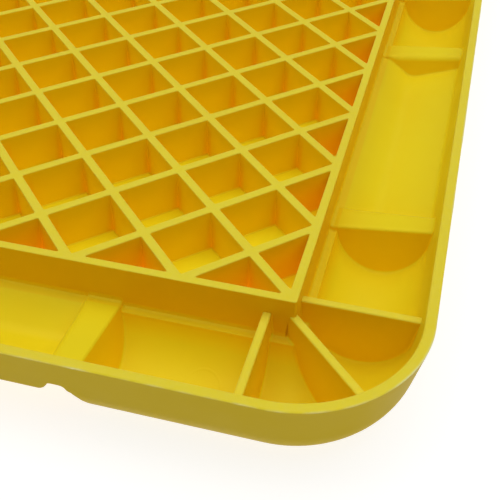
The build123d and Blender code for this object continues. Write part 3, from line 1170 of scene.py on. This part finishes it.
@dataclass
class Border(Moulding):
    """The saddles and what lies between them: gutters with their bead, and grip recesses.

    Attributes:
        foot_round: reach of the rounding at the foot of the saddles' end walls.
        gutter_round: reach of the rounding at their top, over a gutter.
        recess_round: the same over a recess.
        under_rounds: reach of the roundings in the groove below, at the end walls' foot and top.
        flare_reach: reach of the end walls' fillets at the inner wall and the rim.
        handled_fade: how far out from the bead's middle its underside reaches the full painted shade of the
            outer faces.
        wall_deep: painted shade on the ledge beside the inner wall.
        deep_columns: points of a row, past the wall's fillet, that carry it.
        rim_fade: points of a row, from the rim back, where it opens to the rim, and in how many it does.
        saddle_fade: rows of a saddle in which its openness to the rim fades.
        row_spacing: about how far apart the rows of a straight stretch are.
        row_gap: the end walls' foot to the nearest straight row.
        corner_steps: stretches round a corner.
    """

    foot_round: float = 0.9 * MM
    gutter_round: float = 0.8 * MM
    recess_round: float = 1.9 * MM
    under_rounds: tuple[float, float] = (2.6 * MM, 1.4 * MM)
    flare_reach: float = 0.35 * MM
    handled_fade: float = 10 * MM
    wall_deep: float = 0.12
    deep_columns: int = 6
    rim_fade: tuple[int, int] = (14, 8)
    saddle_fade: int = 3
    row_spacing: float = 6.0 * MM
    row_gap: float = 3.0 * MM
    corner_steps: int = 28

    def __post_init__(self) -> None:
        """Works out the sections once."""
        self.section = BorderSection(self.sizes)
        self.rows = [{zone: make(zone) for zone in Zone} for make in (self.section.top, self.section.under)]

    def flare(self, section: Array) -> Array:
        """How far an end wall curves out where it meets the inner wall and the rim.

        Args:
            section: the wall's points, out and up.

        Returns:
            How far each is moved.
        """
        s = self.sizes
        gap = np.minimum(section[..., 0] - s.wall_out, s.rim_face(section[..., 1]) - section[..., 0])
        short = np.clip(self.flare_reach - gap, 0, self.flare_reach)
        return self.flare_reach - np.sqrt(self.flare_reach**2 - short**2)

    def end_wall(self, side: Side, saddle: int, facing: int) -> tuple[tuple[Array, Array], ...]:
        """Rows up one end wall of a saddle, above and below.

        Args:
            side: the saddle's side.
            saddle: its number, from 0.
            facing: which of its two end walls, -1 or 1.

        Returns:
            For the upper surface and the underside, the places along the side and the points.
        """
        s = self.sizes
        run = saddle + (facing > 0)
        zone, lean = side.runs[run], side.lean(run)
        edge = side.saddle_middle(saddle) + facing * s.saddle_land / 2
        top_round = self.recess_round if zone is Zone.RECESS else self.gutter_round
        above = EndWall(edge, facing, lean, s.saddle_mean, self.foot_round, top_round)
        below = EndWall(edge - facing * s.skin / cos(lean), facing, lean, s.saddle_mean, *self.under_rounds)
        tops, unders = self.rows
        return (
            above.rows(tops[zone], tops[Zone.SADDLE], self.flare),
            below.rows(unders[zone], unders[Zone.SADDLE]),
        )

    def shell(self, node: str, above: Array, below: Array, is_saddle: bool = False) -> None:
        """Makes a closed piece of its upper surface and its underside.

        Args:
            node: the CAD node that it stands for.
            above: rows of points of the upper surface, each from wall to rim.
            below: rows of the underside; of both, only as many as the shorter has are kept.
            is_saddle: True where only the first and last rows lie beside the rim.
        """
        count = min(len(above), len(below))
        rows = np.concatenate((match_rows(above, count), match_rows(below, count)[:, ::-1]), axis=1)
        columns = rows.shape[1]
        half = columns // 2
        faces = tube_faces(count, columns)[:-2]
        top, bottom = np.array((range(half), range(columns - 1, half - 1, -1)))
        last = (count - 1) * columns
        faces += strip(bottom.tolist(), top.tolist())
        faces += strip((last + top).tolist(), (last + bottom).tolist())
        # Painted shade on the outer underside of the bead and on the ledge beside the wall.
        handled, deep, near_rim = np.zeros((3, count, columns))
        out = self.rows[1][Zone.GUTTER][::-1, 0]
        handled[:, half:] = np.clip((out - self.sizes.gutter_middle) / self.handled_fade, 0, 1)
        deep[:, : self.section.steps + self.deep_columns] = self.wall_deep
        # Vertices open to the rim lose the painted shade of upright faces.
        first_open, fade = self.rim_fade
        near_rim[:, :half] = np.clip((np.arange(half) - half + first_open) / fade, 0, 1)
        if is_saddle:
            from_end = np.minimum(np.arange(count), np.arange(count)[::-1])
            near_rim *= np.clip(1 - from_end / self.saddle_fade, 0, 1)[:, None]
        self.piece(node, rows, faces, handled=handled, deep=deep, open=near_rim)

    def build(self) -> None:
        """Makes the saddles, the runs between them and the corner troughs."""
        for side in self.sides:
            counts = dict.fromkeys(Zone, 0)
            for saddle in side.saddles:
                self.build_saddle(side, saddle)
            for run in side.saddles[1:]:
                zone = side.runs[run]
                counts[zone] += 1
                self.build_run(side, run, f"{zone.value}_{side.name}_{counts[zone]}")
        for name, before, after in self.corners():
            self.build_corner(name, before, after)

    def build_saddle(self, side: Side, saddle: int) -> None:
        """Makes one saddle, with the rounded foot of both its end walls."""
        surfaces = []
        for first, second in zip(self.end_wall(side, saddle, -1), self.end_wall(side, saddle, 1)):
            v, points = (np.concatenate((a, b[::-1])) for a, b in zip(first, second))
            surfaces.append(side.place(v, points[..., 0], points[..., 1]))
        self.shell(f"saddle_{side.name}_{saddle + 1}", *surfaces, is_saddle=True)

    def stretch(self, side: Side, row: Array, start: Array | float, end: Array | float) -> Array:
        """Rows of a straight stretch between two places, or rows of places, along a side.

        Args:
            side: the side.
            row: the stretch's section.
            start: where each of its points starts along the side.
            end: where each of them ends.

        Returns:
            The rows of points.
        """
        start, end = (np.broadcast_to(edge, len(row)) for edge in (start, end))
        starts_on_wall, ends_on_wall = (bool(np.ptp(edge)) for edge in (start, end))
        first = start.max() + self.row_gap * starts_on_wall
        last = end.min() - self.row_gap * ends_on_wall
        stations = np.linspace(first, last, max(2, round((last - first) / self.row_spacing) + 1))
        places = [np.full(len(row), v) for v in stations]
        if starts_on_wall:
            places.insert(0, start)
        if ends_on_wall:
            places.append(end)
        return side.place(np.array(places), row[:, 0], row[:, 1])

    def build_run(self, side: Side, run: int, node: str) -> None:
        """Makes the gutter or recess between two saddles of a side."""
        before, after = self.end_wall(side, run - 1, 1), self.end_wall(side, run, -1)
        surfaces = [
            self.stretch(side, rows[side.runs[run]], first[0][0], last[0][0])
            for rows, first, last in zip(self.rows, before, after)
        ]
        self.shell(node, *surfaces)

    def build_corner(self, name: str, before: Side, after: Side) -> None:
        """Makes the gutter that turns a corner, from one side's last saddle to the next one's first.

        Args:
            name: the corner's name.
            before: the side that ends at the corner.
            after: the side that starts there.
        """
        walls = zip(self.end_wall(before, before.saddles[-1], 1), self.end_wall(after, 0, -1))
        turns = np.linspace(0, pi / 2, self.corner_steps + 1)[1:-1]
        surfaces = []
        for rows, (first, last) in zip(self.rows, walls):
            row = rows[Zone.GUTTER]
            arrive = self.stretch(before, row, first[0][0], before.half)
            turn = [corner_row(before, 1, angle, row) for angle in turns]
            leave = self.stretch(after, row, -after.half, last[0][0])
            surfaces.append(np.concatenate((arrive, turn, leave)))
        self.shell(f"corner_trough_{name}", *surfaces)


def match_rows(rows: Array, count: int) -> Array:
    """Drops rows second from the end, where the stretch is straight, until count are left."""
    return np.concatenate((rows[: count - 1], rows[-1:]))


# ---------------------------------------------------------------- rim
@dataclass
class Rim(Moulding):
    """The upright rim, notched from below where a groove passes under each saddle.

    Attributes:
        edge_round: reach of the rounding of its two top edges.
        spacing: about how far apart its rows are.
        notch_rounds: reach of the roundings at the foot and the top of a notch's end walls.
        clearance: how much narrower a notch is than the groove, at each end.
        notch_gap: a notch to the nearest plain row.
        flash_pale_profile: how pale the points across the outer top edge are, where there is flash; partly
            the flash's own colour, partly painted highlight.
        flash_shine: how much of that paleness there is without flash, as painted highlight, and how much
            more with all of it.
        flash_level: how much flash there is on average, and the most.
        flash_coarse: how fine the slow part of its unevenness is, and how strong.
        flash_fine: the same for its quick part.
        edge_steps: stretches in the rounding of a top edge.
        settling: tries in which the height of a notch settles.
        corner_steps: stretches round a corner.
    """

    edge_round: float = 0.6 * MM
    spacing: float = 1.4 * MM
    notch_rounds: tuple[float, float] = (2.4 * MM, 1.4 * MM)
    clearance: float = 0.03 * MM
    notch_gap: float = 1.0 * MM
    flash_pale_profile: tuple[float, ...] = (0.0, 0.5, 1.0, 1.0, 0.4)
    flash_shine: tuple[float, float] = (0.1, 1.2)
    flash_level: tuple[float, float] = (0.25, 0.9)
    flash_coarse: tuple[float, float] = (0.04, 1.2)
    flash_fine: tuple[float, float] = (0.17, 0.9)
    edge_steps: int = 5
    settling: int = 5
    corner_steps: int = 48

    # Points of a row, from the inner foot to the outer one.
    FLAT_TOP = slice(4, 9)
    OUTER_EDGE = slice(8, 13)
    OUTER_FACE = slice(12, None)

    def section(self, feet: Sequence[float], ridge: float) -> Array:
        """The rim's section.

        Args:
            feet: heights of its inner and its outer foot.
            ridge: how much flash there is on its outer edge, from 0 to 1.

        Returns:
            Its points, out and up, from the inner foot to the outer one.
        """
        s = self.sizes
        low = s.top - self.edge_round
        inner_edge, outer_edge = np.array((s.rim_inner, s.top)), np.array((s.rim_outer, s.top))
        across = np.array((self.edge_round, 0.0))
        shares = even(self.edge_steps)
        top_inner = bend((s.rim_face(low), low), inner_edge, inner_edge + across, shares)
        top_outer = bend(outer_edge - across, outer_edge, (s.rim_back(low), low), shares)
        top_outer += (outer_edge - top_outer) * np.sin(pi * shares)[:, None] ** 2 * ridge
        inner = [(s.rim_face(z), z) for z in (feet[0], (feet[0] + s.top) / 2)]
        outer = [(s.rim_back(z), z) for z in ((feet[1] + s.top) / 2, feet[1])]
        return np.concatenate((inner, top_inner, top_outer, outer))

    def ridge(self, point: Array) -> float:
        """How much flash there is at a place: a thin broken line."""
        where = Vector(point) * MM_PER_METRE
        (coarse_scale, coarse_share), (fine_scale, fine_share) = self.flash_coarse, self.flash_fine
        coarse = noise.noise(where * coarse_scale + FLASH_START)
        fine = noise.noise(where * fine_scale)
        middle, most = self.flash_level
        return float(np.clip(middle + coarse_share * coarse + fine_share * fine, 0.0, most))

    def row(self, side: Side, v: float, turn: float, feet: Sequence[float]) -> tuple[Array, Array]:
        """One row of the rim.

        Args:
            side: the side it is on.
            v: its place along the side.
            turn: how far it is turned about that place.
            feet: heights of its inner and its outer foot.

        Returns:
            Its points and their painted highlight and flash paleness.
        """
        out = side.out * cos(turn) + side.along * sin(turn)
        base = side.place(v, 0.0, 0.0)
        ridge = self.ridge(base + out * self.sizes.rim_outer)
        section = self.section(feet, ridge)
        worn = np.zeros(len(section))
        # Painted highlight on the flat top, and on the outer top edge a paleness that is partly flash and
        # partly painted highlight.
        worn[self.FLAT_TOP] = self.top_highlight
        least, more = self.flash_shine
        worn[self.OUTER_EDGE] += np.array(self.flash_pale_profile) * (least + more * ridge)
        return base + section[:, :1] * out + section[:, 1:] * UP, worn

    def notch_end(self, side: Side, saddle: int, facing: int) -> tuple[Array, Array]:
        """The rim's two feet from its full height up into a groove.

        Args:
            side: the side.
            saddle: the number of the saddle over the groove.
            facing: which end of the groove, -1 or 1.

        Returns:
            Their places along the side, and their heights.
        """
        s = self.sizes
        lean = side.lean(saddle + (facing > 0))
        half = s.saddle_land / 2 - s.skin / cos(lean) + self.clearance
        edge = side.saddle_middle(saddle) + facing * half
        high = []
        for face in (s.rim_face, s.rim_back):
            z = s.panel_top
            for _ in range(self.settling):
                z = s.ceiling(face(z))
            high.append((face(z), z))
        full = np.array(((s.rim_toe, s.panel_top), (s.bead_end, s.panel_top)))
        wall = EndWall(edge, facing, lean, s.saddle_mean, *self.notch_rounds)
        along, points = wall.rows(full, np.array(high))
        return along, points[..., 1]

    def build(self) -> None:
        """Makes the four straight rims and the four that turn the corners."""
        for side in self.sides:
            self.build_side(side)
        level = (self.sizes.panel_top, self.sizes.panel_top)
        for name, side, _ in self.corners():
            turns = np.linspace(0, pi / 2, self.corner_steps + 1)
            made = [self.row(side, side.half, turn, level) for turn in turns]
            self.finish_rim(f"rim_corner_{name}", made)

    def build_side(self, side: Side) -> None:
        """Makes a side's straight rim."""
        stations: list[tuple[Sequence[float], Sequence[float]]] = []
        start = -side.half
        for saddle in side.saddles:
            (v, feet), (later_v, later_feet) = (self.notch_end(side, saddle, facing) for facing in (-1, 1))
            stations += self.plain(start, v[0].min() - self.notch_gap)
            stations += [*zip(v, feet), *zip(later_v[::-1], later_feet[::-1])]
            start = later_v[0].max() + self.notch_gap
        stations += self.plain(start, side.half)
        made = []
        for (inner, outer), feet in stations:
            middle = (inner + outer) / 2
            points, worn = self.row(side, middle, 0.0, feet)
            points[0] += side.along * (inner - middle)
            points[-1] += side.along * (outer - middle)
            made.append((points, worn))
        self.finish_rim(f"rim_{side.name}", made)

    def plain(self, start: float, end: float) -> list[tuple[Sequence[float], Sequence[float]]]:
        """Places of the two feet, and their heights, where the rim has its full height."""
        places = np.linspace(start, end, max(2, round((end - start) / self.spacing) + 1))
        return [((v, v), (self.sizes.panel_top, self.sizes.panel_top)) for v in places]

    def finish_rim(self, node: str, made: list[tuple[Array, Array]]) -> None:
        """Joins a rim's rows into one closed piece."""
        rows, worn = (np.array(part) for part in zip(*made))
        # The outer face carries the painted shade of the outer faces; the whole rim is open, so it gets no
        # painted upright shade.
        handled = np.zeros(worn.shape)
        handled[:, self.OUTER_FACE] = 1.0
        marks = {"worn": worn, "handled": handled, "open": np.ones(worn.shape)}
        self.piece(node, rows, tube_faces(*worn.shape), **marks)


# ---------------------------------------------------------------- corner ribs
@dataclass(frozen=True)
class RibLine:
    """Where a corner rib stands.

    Attributes:
        origin: where its line meets the node line, at height 0.
        out: the way that it runs.
        radial: True where the gutter under it turns about the origin.
        sink: how far its inner end is sunk into the wall.
    """

    origin: Array
    out: Array
    radial: bool
    sink: float

    def place(self, section: Array, y: Array) -> Array:
        """Turns points out and up, y beside the rib's line, into points of the board."""
        u, z = section[..., 0], section[..., 1]
        if self.radial:
            u = np.sqrt(np.maximum(u**2 - y**2, 0.0)) - np.where(u < np.abs(y), self.sink, 0.0)
        across = np.cross(UP, self.out)
        return self.origin + u[..., None] * self.out + y[..., None] * across + z[..., None] * UP


@dataclass
class CornerRibs(Moulding):
    """The thin ribs that stiffen the gutter at each corner, two square to the sides and one diagonal.

    Attributes:
        draft: lean of their sides.
        top_round: reach of the rounding of their top edges.
        foot_fillet: reach of the fillet at their foot.
        inner_share: the fillet over the foot of the wall, beside the wall's own.
        inner_points: points of the gutter's line, past the wall's fillet, that it holds for.
        end_fillet: reach of the fillet at their two ends.
        sink: how far their ends are sunk into the wall and the rim.
        steps: stretches in each rounding.
    """

    draft: float = radians(0.6)
    top_round: float = 0.55 * MM
    foot_fillet: float = 0.8 * MM
    inner_share: float = 0.5
    inner_points: int = 7
    end_fillet: float = 0.12 * MM
    sink: float = 0.3 * MM
    steps: int = 5

    def build(self) -> None:
        """Makes the three ribs of each corner."""
        for name, before, after in self.corners():
            diagonal = (before.out + after.out) / sqrt(2)
            middle = before.place(before.half, 0.0, 0.0)
            self.build_rib(f"diagonal_rib_{name}", RibLine(middle, diagonal, True, self.sink))
            for side in (before, after):
                low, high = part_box(f"cross_rib_{name}_{side.name}")
                v = float(np.dot(side.along, (np.array(low) + np.array(high)) / 2))
                rib = RibLine(side.place(v, 0.0, 0.0), side.out, False, self.sink)
                self.build_rib(f"cross_rib_{name}_{side.name}", rib)

    def half(self, z: Array | float) -> Array | float:
        """Half a rib's thickness at height z."""
        return self.sizes.rib_thickness / 2 + (self.sizes.rib_top - z) * tan(self.draft)

    def path(self) -> tuple[Array, Array, Array]:
        """The gutter's line under a rib.

        Returns:
            Its points, the way it faces at each, and how large the rib's fillet is there.
        """
        s = self.sizes
        border = BorderSection(s)
        low = s.rib_top - self.top_round
        line = np.concatenate((((s.wall_out, low),), border.gutter(), ((s.rim_face(low), low),)))
        ahead = np.gradient(line, axis=0)
        ahead /= np.linalg.norm(ahead, axis=1)[:, None]
        normal = np.stack((-ahead[:, 1], ahead[:, 0]), -1)
        normal[0], normal[-1] = (1.0, 0.0), (-1.0, 0.0)
        fillet = np.full(len(line), self.foot_fillet)
        fillet[: border.steps + self.inner_points] = border.wall_fillet * self.inner_share
        fillet[[0, -1]] = self.end_fillet
        return line, normal, fillet

    def build_rib(self, node: str, rib: RibLine) -> None:
        """Makes one rib: its two sides with their fillets, its rounded top, its underside and its ends.

        Args:
            node: the CAD node that it stands for.
            rib: where it stands.
        """
        s = self.sizes
        line, normal, fillet = self.path()
        turns = pi / 2 * even(self.steps)
        low = s.rib_top - self.top_round
        points, crest = [], []
        for sign in (1, -1):
            for turn in turns:
                section = line + normal * (fillet * (1 - sin(turn)))[:, None]
                y = sign * (self.half(section[:, 1]) + fillet * (1 - cos(turn)))
                points.append(rib.place(section, y))
            for turn in turns[1:][::sign]:
                z = s.rib_top - self.top_round * (1 - sin(turn))
                y = sign * (self.half(low) - self.top_round * (1 - cos(turn)))
                ends = np.array(((s.wall_out - self.sink, z), (s.rim_face(z) + self.sink, z)))
                crest.append(rib.place(ends, np.array((y, y))))
        points = np.concatenate(points + crest)

        rows = np.arange(len(points) - 2 * len(crest)).reshape(2, self.steps + 1, len(line)).tolist()
        left, right = rows
        over = np.arange(len(points) - 2 * len(crest), len(points)).reshape(-1, 2).tolist()
        over = [[left[0][0], left[0][-1]], *over, [right[0][0], right[0][-1]]]
        faces = [tuple(left[0]), tuple(right[0])]
        for bands in (left, right, over, (left[-1], right[-1])):
            for first, second in zip(bands, bands[1:]):
                faces += strip(first, second)
        for end in (0, -1):
            plus, minus = [row[end] for row in left[:0:-1]], [row[end] for row in right[1:]]
            faces.append((*plus, *(ends[end] for ends in over), *minus))
        # Painted highlight on the rounded top.
        worn = np.where(points[:, 2] > s.rib_top - self.top_round / 2, self.top_highlight, 0.0)
        self.piece(node, points, faces, worn=worn)


# ---------------------------------------------------------------- studio
@dataclass
class Studio:
    """Floor, soft light and camera round the board.

    Attributes:
        sizes: the board's sizes.
        azimuth: the camera's heading, from the board's length.
        elevation: its angle above the horizon.
        roll: its roll about its own line of sight.
        lens: its focal length in millimetres.
        sensor: its sensor's width in millimetres.
        near: the nearest that it sees.
        stand: its place, from the top of the front right corner node.
        floor_reach: the floor's middle to its edges.
        floor_drop: how far below the board the floor is.
        surround: for heights from the horizon up, how bright the surround is.
        surround_ends: the same straight ahead and straight up.
        lean: how much brighter the surround is behind the board than over it, and how bright it is there.
        softboxes: each softbox's name, place, size and power.
    """

    sizes: BoardSizes
    azimuth: float = radians(14.73)
    elevation: float = radians(40.804)
    roll: float = radians(0.39)
    lens: float = 60.88
    sensor: float = 36.0
    near: float = 10 * MM
    stand: tuple[float, float, float] = (28.27 * MM, -152.47 * MM, 150.33 * MM)
    floor_reach: float = 30.0
    floor_drop: float = 0.2 * MM
    surround: tuple[tuple[float, float], ...] = ((0.10, 0.80), (0.20, 0.08), (0.40, 0.10), (0.95, 1.0))
    surround_ends: tuple[float, float] = (0.85, 1.0)
    lean: tuple[float, float] = (0.22, 0.73)
    softboxes: tuple[tuple[str, tuple[float, float, float], float, float], ...] = (
        ("left_softbox", (-0.62, 0.05, 1.0), 1.1, 2.75),
        ("right_softbox", (0.62, 0.05, 1.0), 1.1, 2.75),
        ("overhead_softbox", (0.0, -0.05, 1.3), 0.6, 1.4),
    )

    def build(self) -> None:
        """Makes the floor, the lights and the camera."""
        self.build_floor()
        self.build_surround()
        for softbox in self.softboxes:
            self.build_softbox(*softbox)
        self.build_camera()
        bpy.context.scene.view_settings.view_transform = "Standard"

    def build_floor(self) -> None:
        """Makes a plain pale floor, which the board rests on."""
        mesh = bpy.data.meshes.new("studio_floor")
        reach = self.floor_reach
        corners = [(-reach, -reach, 0), (reach, -reach, 0), (reach, reach, 0), (-reach, reach, 0)]
        mesh.from_pydata(corners, [], [(0, 1, 2, 3)])
        material = bpy.data.materials.new("pale_floor")
        material.use_nodes = True
        values = {
            "Base Color": (0.35, 0.35, 0.35, 1),
            "Roughness": 0.8,
            "Emission Color": (1, 1, 1, 1),
            "Emission Strength": 0.80,
        }
        Nodes(material.node_tree).wire(material.node_tree.nodes["Principled BSDF"], values)
        mesh.materials.append(material)
        floor = bpy.data.objects.new("studio_floor", mesh)
        floor.location.z = -self.floor_drop
        bpy.context.scene.collection.objects.link(floor)

    def build_surround(self) -> None:
        """Makes the pale surround that lights the board evenly from above."""
        world = bpy.data.worlds.new("pale_surround")
        world.use_nodes = True
        nodes = Nodes(world.node_tree)
        place = nodes.add("TexCoord", {}, "Generated")
        height = nodes.add("SeparateXYZ", {"Vector": place}, "Z")
        fade = nodes.add("ValToRGB", {"Fac": height}, "Color")
        stops = fade.node.color_ramp.elements
        for stop, value in zip(stops, self.surround_ends):
            stop.color = (value, value, value, 1)
        for position, value in self.surround:
            stops.new(position).color = (value, value, value, 1)
        lean = {0: height.node.outputs["Y"], 1: self.lean[0], 2: self.lean[1]}
        strength = nodes.add("Math", lean, "Value", operation="MULTIPLY_ADD")
        nodes.wire(world.node_tree.nodes["Background"], {"Color": fade, "Strength": strength})
        bpy.context.scene.world = world

    def build_softbox(self, name: str, place: Sequence[float], size: float, power: float) -> None:
        """Adds a square soft light that looks at the board's middle.

        Args:
            name: its name.
            place: where it hangs.
            size: its width.
            power: its power in watts.
        """
        light = bpy.data.lights.new(name, "AREA")
        light.size = size
        light.energy = power
        lamp = bpy.data.objects.new(name, light)
        lamp.location = place
        lamp.rotation_euler = (-Vector(place)).to_track_quat("-Z", "Y").to_euler()
        bpy.context.scene.collection.objects.link(lamp)

    def build_camera(self) -> None:
        """Adds the camera, beside the front right corner and looking down along the board."""
        data = bpy.data.cameras.new("studio_camera")
        data.sensor_width = self.sensor
        data.lens = self.lens
        data.clip_start = self.near
        camera = bpy.data.objects.new("studio_camera", data)
        corner = Vector((self.sizes.half_width, -self.sizes.half_length, self.sizes.top))
        camera.location = corner + Vector(self.stand)
        level = cos(self.elevation)
        look = Vector((-sin(self.azimuth) * level, cos(self.azimuth) * level, -sin(self.elevation)))
        roll = Matrix.Rotation(self.roll, 3, "Z").to_quaternion()
        camera.rotation_mode = "QUATERNION"
        camera.rotation_quaternion = look.to_track_quat("-Z", "Y") @ roll
        bpy.context.scene.collection.objects.link(camera)
        bpy.context.scene.camera = camera


def main() -> None:
    """Builds the board's pieces in order, then the studio round them."""
    sizes = BoardSizes.from_frame()
    sides = board_sides(sizes)
    satin = MouldedPlastic()
    # The outer faces carry painted shade and take this second material, which has less sheen.
    outer_face = replace(satin, name="handled_moulded_plastic", sheen=0.045)
    plastics = satin.build(), outer_face.build()
    for maker in (CellDeck, Border, Rim, CornerRibs):
        log.info("making the %s", maker.__name__)
        maker(sizes, sides, plastics).build()
    Studio(sizes).build()


if __name__ == "__main__":
    main()
